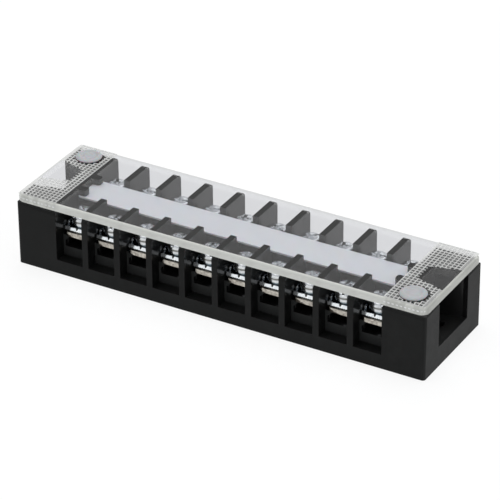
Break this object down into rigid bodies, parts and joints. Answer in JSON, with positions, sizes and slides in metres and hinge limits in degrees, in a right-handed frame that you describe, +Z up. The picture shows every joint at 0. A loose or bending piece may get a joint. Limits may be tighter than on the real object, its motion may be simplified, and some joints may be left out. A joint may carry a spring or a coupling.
{
  "type": "barrier terminal strip",
  "caption": "Black moulded terminal strip with barriers between two rows of clamp screws, a clear riveted cover and a fixing notch in each end.",
  "frame": {"origin": "middle of the underside", "axes": "+X along the strip, +Y from the front row to the rear row, +Z up from the face it is fixed by"},
  "size_m": [0.1352, 0.0352, 0.0243],
  "materials": {
    "housing_black": "satin moulded black",
    "cover_clear": "clear moulded, knurled ends",
    "label_white": "matt white",
    "rivet_natural": "translucent natural nylon",
    "plate_metal": "tin plated, sheared edges",
    "clamp_metal": "bright zinc plated",
    "screw_metal": "bright nickel plated"
  },
  "bodies": {
    "housing": {"base": "housing_black", "label_strip": "label_white", "terminal_plate_01": "plate_metal", "terminal_plate_02": "plate_metal", "terminal_plate_03": "plate_metal", "terminal_plate_04": "plate_metal", "terminal_plate_05": "plate_metal", "terminal_plate_06": "plate_metal", "terminal_plate_07": "plate_metal", "terminal_plate_08": "plate_metal", "terminal_plate_09": "plate_metal", "terminal_plate_10": "plate_metal"},
    "cover": {"cover": "cover_clear", "cover_rivet_right_front": "rivet_natural", "cover_rivet_left_rear": "rivet_natural"},
    "clamp_front_01": {"clamp_front_01": "clamp_metal"},
    "screw_front_01": {"screw_front_01": "screw_metal"},
    "clamp_rear_01": {"clamp_rear_01": "clamp_metal"},
    "screw_rear_01": {"screw_rear_01": "screw_metal"},
    "clamp_front_02": {"clamp_front_02": "clamp_metal"},
    "screw_front_02": {"screw_front_02": "screw_metal"},
    "clamp_rear_02": {"clamp_rear_02": "clamp_metal"},
    "screw_rear_02": {"screw_rear_02": "screw_metal"},
    "clamp_front_03": {"clamp_front_03": "clamp_metal"},
    "screw_front_03": {"screw_front_03": "screw_metal"},
    "clamp_rear_03": {"clamp_rear_03": "clamp_metal"},
    "screw_rear_03": {"screw_rear_03": "screw_metal"},
    "clamp_front_04": {"clamp_front_04": "clamp_metal"},
    "screw_front_04": {"screw_front_04": "screw_metal"},
    "clamp_rear_04": {"clamp_rear_04": "clamp_metal"},
    "screw_rear_04": {"screw_rear_04": "screw_metal"},
    "clamp_front_05": {"clamp_front_05": "clamp_metal"},
    "screw_front_05": {"screw_front_05": "screw_metal"},
    "clamp_rear_05": {"clamp_rear_05": "clamp_metal"},
    "screw_rear_05": {"screw_rear_05": "screw_metal"},
    "clamp_front_06": {"clamp_front_06": "clamp_metal"},
    "screw_front_06": {"screw_front_06": "screw_metal"},
    "clamp_rear_06": {"clamp_rear_06": "clamp_metal"},
    "screw_rear_06": {"screw_rear_06": "screw_metal"},
    "clamp_front_07": {"clamp_front_07": "clamp_metal"},
    "screw_front_07": {"screw_front_07": "screw_metal"},
    "clamp_rear_07": {"clamp_rear_07": "clamp_metal"},
    "screw_rear_07": {"screw_rear_07": "screw_metal"},
    "clamp_front_08": {"clamp_front_08": "clamp_metal"},
    "screw_front_08": {"screw_front_08": "screw_metal"},
    "clamp_rear_08": {"clamp_rear_08": "clamp_metal"},
    "screw_rear_08": {"screw_rear_08": "screw_metal"},
    "clamp_front_09": {"clamp_front_09": "clamp_metal"},
    "screw_front_09": {"screw_front_09": "screw_metal"},
    "clamp_rear_09": {"clamp_rear_09": "clamp_metal"},
    "screw_rear_09": {"screw_rear_09": "screw_metal"},
    "clamp_front_10": {"clamp_front_10": "clamp_metal"},
    "screw_front_10": {"screw_front_10": "screw_metal"},
    "clamp_rear_10": {"clamp_rear_10": "clamp_metal"},
    "screw_rear_10": {"screw_rear_10": "screw_metal"}
  },
  "joints": [
    {"name": "cover_lift", "type": "slide", "parent": "housing", "child": "cover", "axis": [0, 0, 1], "range_m": [0, 0.025]},
    {"name": "clamp_front_01_rise", "type": "slide", "parent": "housing", "child": "clamp_front_01", "axis": [0, 0, 1], "range_m": [0, 0.0021]},
    {"name": "screw_front_01_turn", "type": "hinge", "parent": "clamp_front_01", "child": "screw_front_01", "pos_m": [-0.0495, -0.0093, 0.0147], "axis": [0, 0, 1], "range_deg": [0, 1080]},
    {"name": "clamp_rear_01_rise", "type": "slide", "parent": "housing", "child": "clamp_rear_01", "axis": [0, 0, 1], "range_m": [0, 0.0021]},
    {"name": "screw_rear_01_turn", "type": "hinge", "parent": "clamp_rear_01", "child": "screw_rear_01", "pos_m": [-0.0495, 0.0093, 0.0147], "axis": [0, 0, 1], "range_deg": [0, 1080]},
    {"name": "clamp_front_02_rise", "type": "slide", "parent": "housing", "child": "clamp_front_02", "axis": [0, 0, 1], "range_m": [0, 0.0021]},
    {"name": "screw_front_02_turn", "type": "hinge", "parent": "clamp_front_02", "child": "screw_front_02", "pos_m": [-0.0385, -0.0093, 0.0147], "axis": [0, 0, 1], "range_deg": [0, 1080]},
    {"name": "clamp_rear_02_rise", "type": "slide", "parent": "housing", "child": "clamp_rear_02", "axis": [0, 0, 1], "range_m": [0, 0.0021]},
    {"name": "screw_rear_02_turn", "type": "hinge", "parent": "clamp_rear_02", "child": "screw_rear_02", "pos_m": [-0.0385, 0.0093, 0.0147], "axis": [0, 0, 1], "range_deg": [0, 1080]},
    {"name": "clamp_front_03_rise", "type": "slide", "parent": "housing", "child": "clamp_front_03", "axis": [0, 0, 1], "range_m": [0, 0.0021]},
    {"name": "screw_front_03_turn", "type": "hinge", "parent": "clamp_front_03", "child": "screw_front_03", "pos_m": [-0.0275, -0.0093, 0.0147], "axis": [0, 0, 1], "range_deg": [0, 1080]},
    {"name": "clamp_rear_03_rise", "type": "slide", "parent": "housing", "child": "clamp_rear_03", "axis": [0, 0, 1], "range_m": [0, 0.0021]},
    {"name": "screw_rear_03_turn", "type": "hinge", "parent": "clamp_rear_03", "child": "screw_rear_03", "pos_m": [-0.0275, 0.0093, 0.0147], "axis": [0, 0, 1], "range_deg": [0, 1080]},
    {"name": "clamp_front_04_rise", "type": "slide", "parent": "housing", "child": "clamp_front_04", "axis": [0, 0, 1], "range_m": [0, 0.0021]},
    {"name": "screw_front_04_turn", "type": "hinge", "parent": "clamp_front_04", "child": "screw_front_04", "pos_m": [-0.0165, -0.0093, 0.0147], "axis": [0, 0, 1], "range_deg": [0, 1080]},
    {"name": "clamp_rear_04_rise", "type": "slide", "parent": "housing", "child": "clamp_rear_04", "axis": [0, 0, 1], "range_m": [0, 0.0021]},
    {"name": "screw_rear_04_turn", "type": "hinge", "parent": "clamp_rear_04", "child": "screw_rear_04", "pos_m": [-0.0165, 0.0093, 0.0147], "axis": [0, 0, 1], "range_deg": [0, 1080]},
    {"name": "clamp_front_05_rise", "type": "slide", "parent": "housing", "child": "clamp_front_05", "axis": [0, 0, 1], "range_m": [0, 0.0021]},
    {"name": "screw_front_05_turn", "type": "hinge", "parent": "clamp_front_05", "child": "screw_front_05", "pos_m": [-0.0055, -0.0093, 0.0147], "axis": [0, 0, 1], "range_deg": [0, 1080]},
    {"name": "clamp_rear_05_rise", "type": "slide", "parent": "housing", "child": "clamp_rear_05", "axis": [0, 0, 1], "range_m": [0, 0.0021]},
    {"name": "screw_rear_05_turn", "type": "hinge", "parent": "clamp_rear_05", "child": "screw_rear_05", "pos_m": [-0.0055, 0.0093, 0.0147], "axis": [0, 0, 1], "range_deg": [0, 1080]},
    {"name": "clamp_front_06_rise", "type": "slide", "parent": "housing", "child": "clamp_front_06", "axis": [0, 0, 1], "range_m": [0, 0.0021]},
    {"name": "screw_front_06_turn", "type": "hinge", "parent": "clamp_front_06", "child": "screw_front_06", "pos_m": [0.0055, -0.0093, 0.0147], "axis": [0, 0, 1], "range_deg": [0, 1080]},
    {"name": "clamp_rear_06_rise", "type": "slide", "parent": "housing", "child": "clamp_rear_06", "axis": [0, 0, 1], "range_m": [0, 0.0021]},
    {"name": "screw_rear_06_turn", "type": "hinge", "parent": "clamp_rear_06", "child": "screw_rear_06", "pos_m": [0.0055, 0.0093, 0.0147], "axis": [0, 0, 1], "range_deg": [0, 1080]},
    {"name": "clamp_front_07_rise", "type": "slide", "parent": "housing", "child": "clamp_front_07", "axis": [0, 0, 1], "range_m": [0, 0.0021]},
    {"name": "screw_front_07_turn", "type": "hinge", "parent": "clamp_front_07", "child": "screw_front_07", "pos_m": [0.0165, -0.0093, 0.0147], "axis": [0, 0, 1], "range_deg": [0, 1080]},
    {"name": "clamp_rear_07_rise", "type": "slide", "parent": "housing", "child": "clamp_rear_07", "axis": [0, 0, 1], "range_m": [0, 0.0021]},
    {"name": "screw_rear_07_turn", "type": "hinge", "parent": "clamp_rear_07", "child": "screw_rear_07", "pos_m": [0.0165, 0.0093, 0.0147], "axis": [0, 0, 1], "range_deg": [0, 1080]},
    {"name": "clamp_front_08_rise", "type": "slide", "parent": "housing", "child": "clamp_front_08", "axis": [0, 0, 1], "range_m": [0, 0.0021]},
    {"name": "screw_front_08_turn", "type": "hinge", "parent": "clamp_front_08", "child": "screw_front_08", "pos_m": [0.0275, -0.0093, 0.0147], "axis": [0, 0, 1], "range_deg": [0, 1080]},
    {"name": "clamp_rear_08_rise", "type": "slide", "parent": "housing", "child": "clamp_rear_08", "axis": [0, 0, 1], "range_m": [0, 0.0021]},
    {"name": "screw_rear_08_turn", "type": "hinge", "parent": "clamp_rear_08", "child": "screw_rear_08", "pos_m": [0.0275, 0.0093, 0.0147], "axis": [0, 0, 1], "range_deg": [0, 1080]},
    {"name": "clamp_front_09_rise", "type": "slide", "parent": "housing", "child": "clamp_front_09", "axis": [0, 0, 1], "range_m": [0, 0.0021]},
    {"name": "screw_front_09_turn", "type": "hinge", "parent": "clamp_front_09", "child": "screw_front_09", "pos_m": [0.0385, -0.0093, 0.0147], "axis": [0, 0, 1], "range_deg": [0, 1080]},
    {"name": "clamp_rear_09_rise", "type": "slide", "parent": "housing", "child": "clamp_rear_09", "axis": [0, 0, 1], "range_m": [0, 0.0021]},
    {"name": "screw_rear_09_turn", "type": "hinge", "parent": "clamp_rear_09", "child": "screw_rear_09", "pos_m": [0.0385, 0.0093, 0.0147], "axis": [0, 0, 1], "range_deg": [0, 1080]},
    {"name": "clamp_front_10_rise", "type": "slide", "parent": "housing", "child": "clamp_front_10", "axis": [0, 0, 1], "range_m": [0, 0.0021]},
    {"name": "screw_front_10_turn", "type": "hinge", "parent": "clamp_front_10", "child": "screw_front_10", "pos_m": [0.0495, -0.0093, 0.0147], "axis": [0, 0, 1], "range_deg": [0, 1080]},
    {"name": "clamp_rear_10_rise", "type": "slide", "parent": "housing", "child": "clamp_rear_10", "axis": [0, 0, 1], "range_m": [0, 0.0021]},
    {"name": "screw_rear_10_turn", "type": "hinge", "parent": "clamp_rear_10", "child": "screw_rear_10", "pos_m": [0.0495, 0.0093, 0.0147], "axis": [0, 0, 1], "range_deg": [0, 1080]}
  ],
  "couplings": [
    {"joint": "screw_front_01_turn", "follows": "clamp_front_01_rise", "rad_per_m": 8975.9},
    {"joint": "screw_rear_01_turn", "follows": "clamp_rear_01_rise", "rad_per_m": 8975.9},
    {"joint": "screw_front_02_turn", "follows": "clamp_front_02_rise", "rad_per_m": 8975.9},
    {"joint": "screw_rear_02_turn", "follows": "clamp_rear_02_rise", "rad_per_m": 8975.9},
    {"joint": "screw_front_03_turn", "follows": "clamp_front_03_rise", "rad_per_m": 8975.9},
    {"joint": "screw_rear_03_turn", "follows": "clamp_rear_03_rise", "rad_per_m": 8975.9},
    {"joint": "screw_front_04_turn", "follows": "clamp_front_04_rise", "rad_per_m": 8975.9},
    {"joint": "screw_rear_04_turn", "follows": "clamp_rear_04_rise", "rad_per_m": 8975.9},
    {"joint": "screw_front_05_turn", "follows": "clamp_front_05_rise", "rad_per_m": 8975.9},
    {"joint": "screw_rear_05_turn", "follows": "clamp_rear_05_rise", "rad_per_m": 8975.9},
    {"joint": "screw_front_06_turn", "follows": "clamp_front_06_rise", "rad_per_m": 8975.9},
    {"joint": "screw_rear_06_turn", "follows": "clamp_rear_06_rise", "rad_per_m": 8975.9},
    {"joint": "screw_front_07_turn", "follows": "clamp_front_07_rise", "rad_per_m": 8975.9},
    {"joint": "screw_rear_07_turn", "follows": "clamp_rear_07_rise", "rad_per_m": 8975.9},
    {"joint": "screw_front_08_turn", "follows": "clamp_front_08_rise", "rad_per_m": 8975.9},
    {"joint": "screw_rear_08_turn", "follows": "clamp_rear_08_rise", "rad_per_m": 8975.9},
    {"joint": "screw_front_09_turn", "follows": "clamp_front_09_rise", "rad_per_m": 8975.9},
    {"joint": "screw_rear_09_turn", "follows": "clamp_rear_09_rise", "rad_per_m": 8975.9},
    {"joint": "screw_front_10_turn", "follows": "clamp_front_10_rise", "rad_per_m": 8975.9},
    {"joint": "screw_rear_10_turn", "follows": "clamp_rear_10_rise", "rad_per_m": 8975.9}
  ]
}
